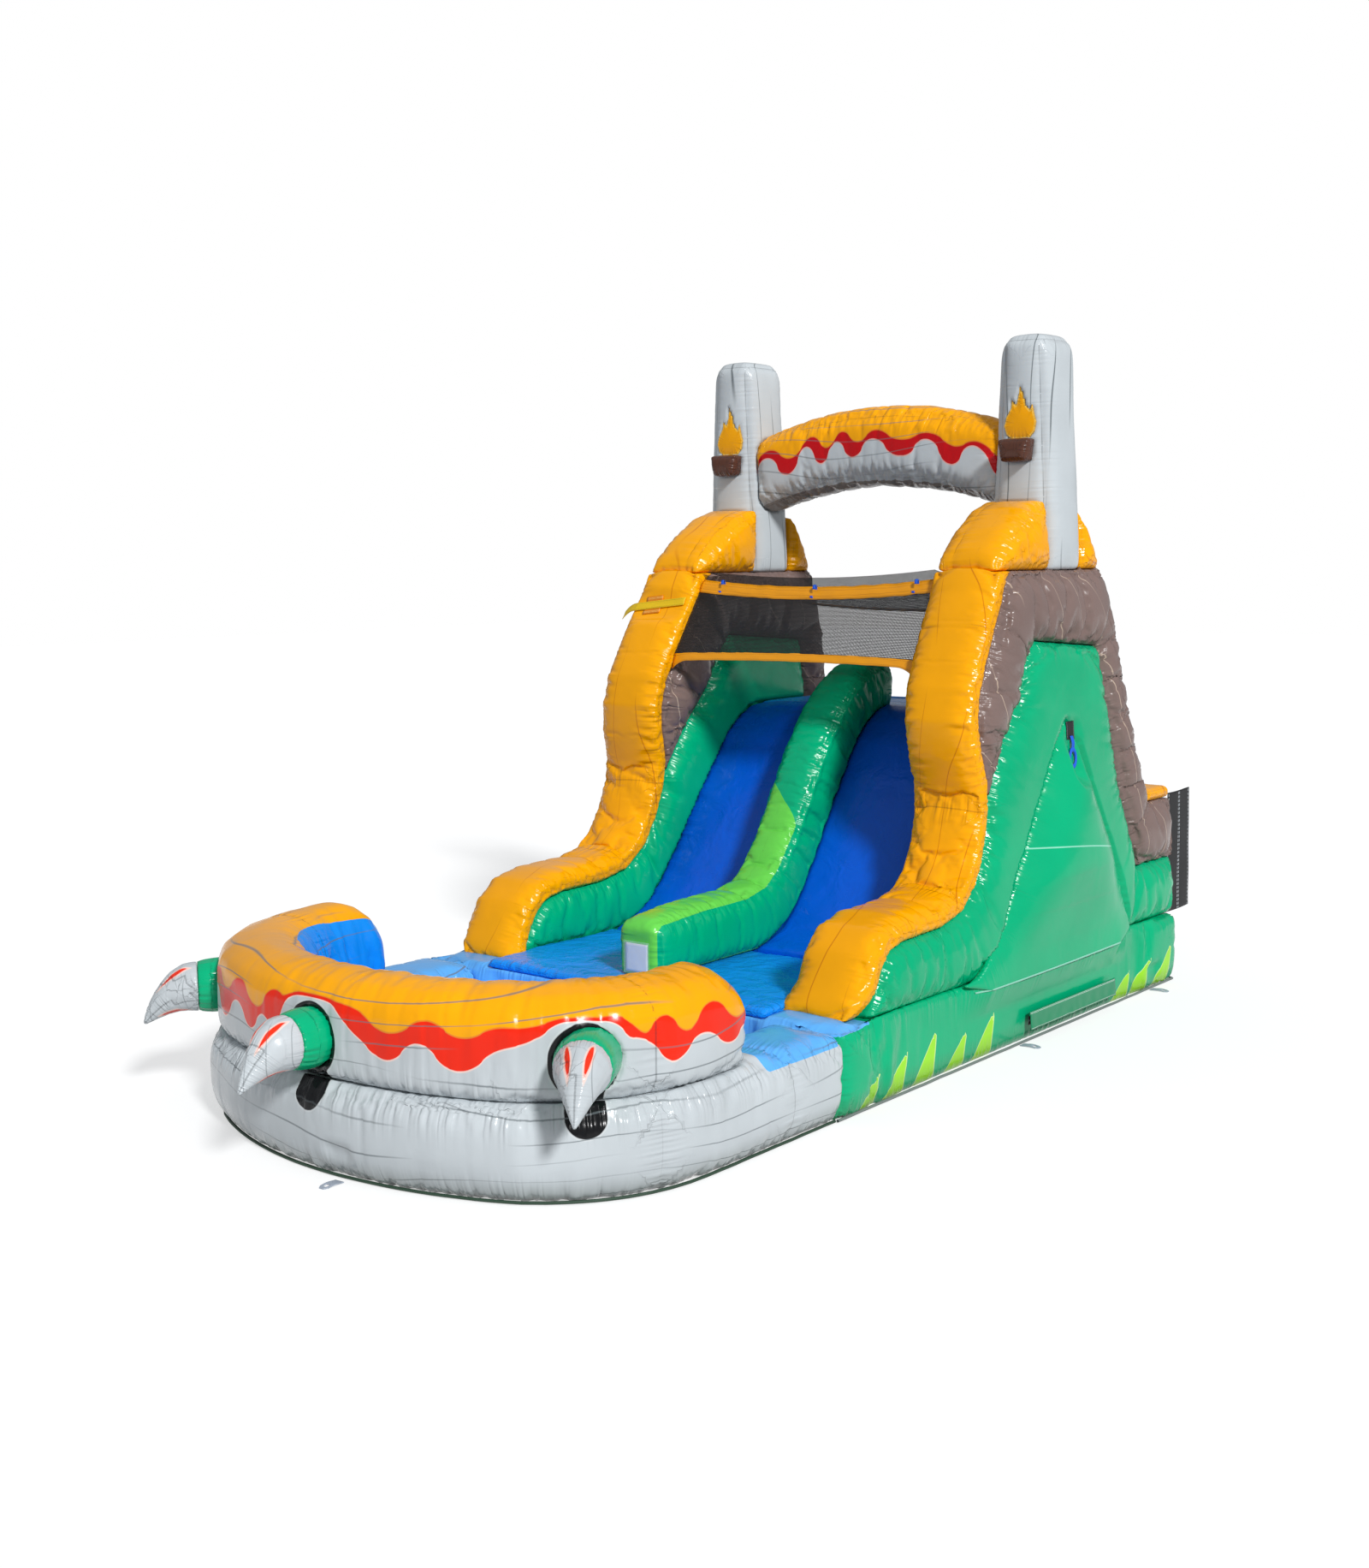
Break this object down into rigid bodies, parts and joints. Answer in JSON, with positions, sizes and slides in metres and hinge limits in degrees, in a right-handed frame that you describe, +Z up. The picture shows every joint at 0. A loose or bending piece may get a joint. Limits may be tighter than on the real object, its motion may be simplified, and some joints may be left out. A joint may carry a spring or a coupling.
{
  "type": "inflatable water slide",
  "caption": "Inflatable water slide with side-by-side lanes, a divider, a splash pool with a padded rim and claw shapes, net guards, pillars with a beam, and a stepped climbing side.",
  "frame": {"origin": "on the ground, midway between the side walls, under the run-out deck at the foot of the lanes", "axes": "+X to the right seen from the pool, +Y from the pool towards the climbing side, +Z up"},
  "size_m": [3.6212, 7.6628, 4.57],
  "materials": {
    "green_vinyl": "glossy coated cloth with welded and stitched seams",
    "leaf_green_vinyl": "glossy coated cloth with welded and stitched seams",
    "orange_vinyl": "glossy coated cloth with welded and stitched seams",
    "brown_vinyl": "glossy coated cloth with welded and stitched seams",
    "grey_vinyl": "glossy coated cloth with welded and stitched seams",
    "lane_blue_vinyl": "glossy coated cloth with welded and stitched seams",
    "pool_blue_vinyl": "glossy coated cloth with welded and stitched seams",
    "black_cloth": "black woven cloth and hook-and-loop tape",
    "black_netting": "knotted polyester net",
    "blue_webbing": "woven webbing",
    "pale_webbing": "woven webbing",
    "yellow_webbing": "woven webbing",
    "card_white": "plain card in a clear sleeve"
  },
  "bodies": {
    "inflated_body": {"blank_card": "card_white", "climbing_wall": "pool_blue_vinyl", "crossbeam": "grey_vinyl", "front_net": "black_netting", "front_net_low_hem": "orange_vinyl", "front_net_top_hem": "orange_vinyl", "inlet_sleeve": "green_vinyl", "inlet_strap": "black_cloth", "lane_divider": "leaf_green_vinyl", "left_claw_socket": "green_vinyl", "left_claw_tip": "grey_vinyl", "left_flame": "orange_vinyl", "left_flap_strip": "pale_webbing", "left_front_arm": "orange_vinyl", "left_front_hoop": "orange_vinyl", "left_lower_wall": "green_vinyl", "left_pillar": "grey_vinyl", "left_rear_hoop": "orange_vinyl", "left_side_panel": "green_vinyl", "left_step_cap": "orange_vinyl", "left_torch_box": "brown_vinyl", "left_upper_wall": "brown_vinyl", "middle_claw_socket": "green_vinyl", "middle_claw_tip": "grey_vinyl", "net_strap": "yellow_webbing", "pool_bumper": "grey_vinyl", "pool_floor": "pool_blue_vinyl", "pool_wall": "grey_vinyl", "rear_net_hem": "orange_vinyl", "right_claw_socket": "green_vinyl", "right_claw_tip": "grey_vinyl", "right_flame": "orange_vinyl", "right_flap_strip": "pale_webbing", "right_front_arm": "orange_vinyl", "right_front_hoop": "orange_vinyl", "right_lower_wall": "green_vinyl", "right_pillar": "grey_vinyl", "right_rear_hoop": "orange_vinyl", "right_side_panel": "green_vinyl", "right_step_cap": "orange_vinyl", "right_torch_box": "brown_vinyl", "right_upper_wall": "brown_vinyl", "roof_net": "black_netting", "runout_mat": "pool_blue_vinyl", "slide_base": "green_vinyl", "slide_bed": "lane_blue_vinyl", "top_platform": "pool_blue_vinyl", "zip_header": "green_vinyl", "zip_tape": "black_cloth"},
    "front_anchor": {"front_anchor": "pale_webbing"},
    "left_rear_anchor": {"left_rear_anchor": "pale_webbing"},
    "left_rear_flap": {"left_rear_flap": "black_cloth"},
    "left_side_anchor": {"left_side_anchor": "pale_webbing"},
    "left_tie_loop": {"left_tie_loop": "blue_webbing"},
    "right_rear_anchor": {"right_rear_anchor": "pale_webbing"},
    "right_rear_flap": {"right_rear_flap": "black_cloth"},
    "right_side_anchor": {"right_side_anchor": "pale_webbing"},
    "right_tie_loop": {"right_tie_loop": "blue_webbing"},
    "zip_flap": {"zip_flap": "green_vinyl"},
    "zip_slider": {"zip_slider": "pale_webbing"}
  },
  "joints": [
    {"name": "left_tie_loop_swing", "type": "hinge", "parent": "inflated_body", "child": "left_tie_loop", "pos_m": [-1.5892, 1.67, 1.94], "axis": [0, 1, 0], "range_deg": [0, 90]},
    {"name": "right_tie_loop_swing", "type": "hinge", "parent": "inflated_body", "child": "right_tie_loop", "pos_m": [1.5892, 1.67, 1.94], "axis": [0, -1, 0], "range_deg": [0, 90]},
    {"name": "left_rear_flap_turn", "type": "hinge", "parent": "inflated_body", "child": "left_rear_flap", "pos_m": [-1.54, 3.312, 0.47], "axis": [0, 0, 1], "range_deg": [-85, 85]},
    {"name": "right_rear_flap_turn", "type": "hinge", "parent": "inflated_body", "child": "right_rear_flap", "pos_m": [1.54, 3.312, 0.47], "axis": [0, 0, 1], "range_deg": [-85, 85]},
    {"name": "zip_flap_lift", "type": "hinge", "parent": "inflated_body", "child": "zip_flap", "pos_m": [1.6929, 0.98, 0.205], "axis": [0, -1, 0], "range_deg": [0, 90]},
    {"name": "zip_slider_run", "type": "slide", "parent": "inflated_body", "child": "zip_slider", "axis": [0, 1, 0], "range_m": [0, 1.05]},
    {"name": "front_anchor_lift", "type": "hinge", "parent": "inflated_body", "child": "front_anchor", "pos_m": [0.2076, -3.4931, 0.0066], "axis": [-0.9969, -0.0786, 0], "range_deg": [0, 90]},
    {"name": "left_side_anchor_lift", "type": "hinge", "parent": "inflated_body", "child": "left_side_anchor", "pos_m": [-1.6803, 0.9, 0.0066], "axis": [0, 1, 0], "range_deg": [0, 90]},
    {"name": "left_rear_anchor_lift", "type": "hinge", "parent": "inflated_body", "child": "left_rear_anchor", "pos_m": [-1.6803, 2.8, 0.0066], "axis": [0, 1, 0], "range_deg": [0, 90]},
    {"name": "right_side_anchor_lift", "type": "hinge", "parent": "inflated_body", "child": "right_side_anchor", "pos_m": [1.6803, 0.9, 0.0066], "axis": [0, -1, 0], "range_deg": [0, 90]},
    {"name": "right_rear_anchor_lift", "type": "hinge", "parent": "inflated_body", "child": "right_rear_anchor", "pos_m": [1.6803, 2.8, 0.0066], "axis": [0, -1, 0], "range_deg": [0, 90]}
  ]
}
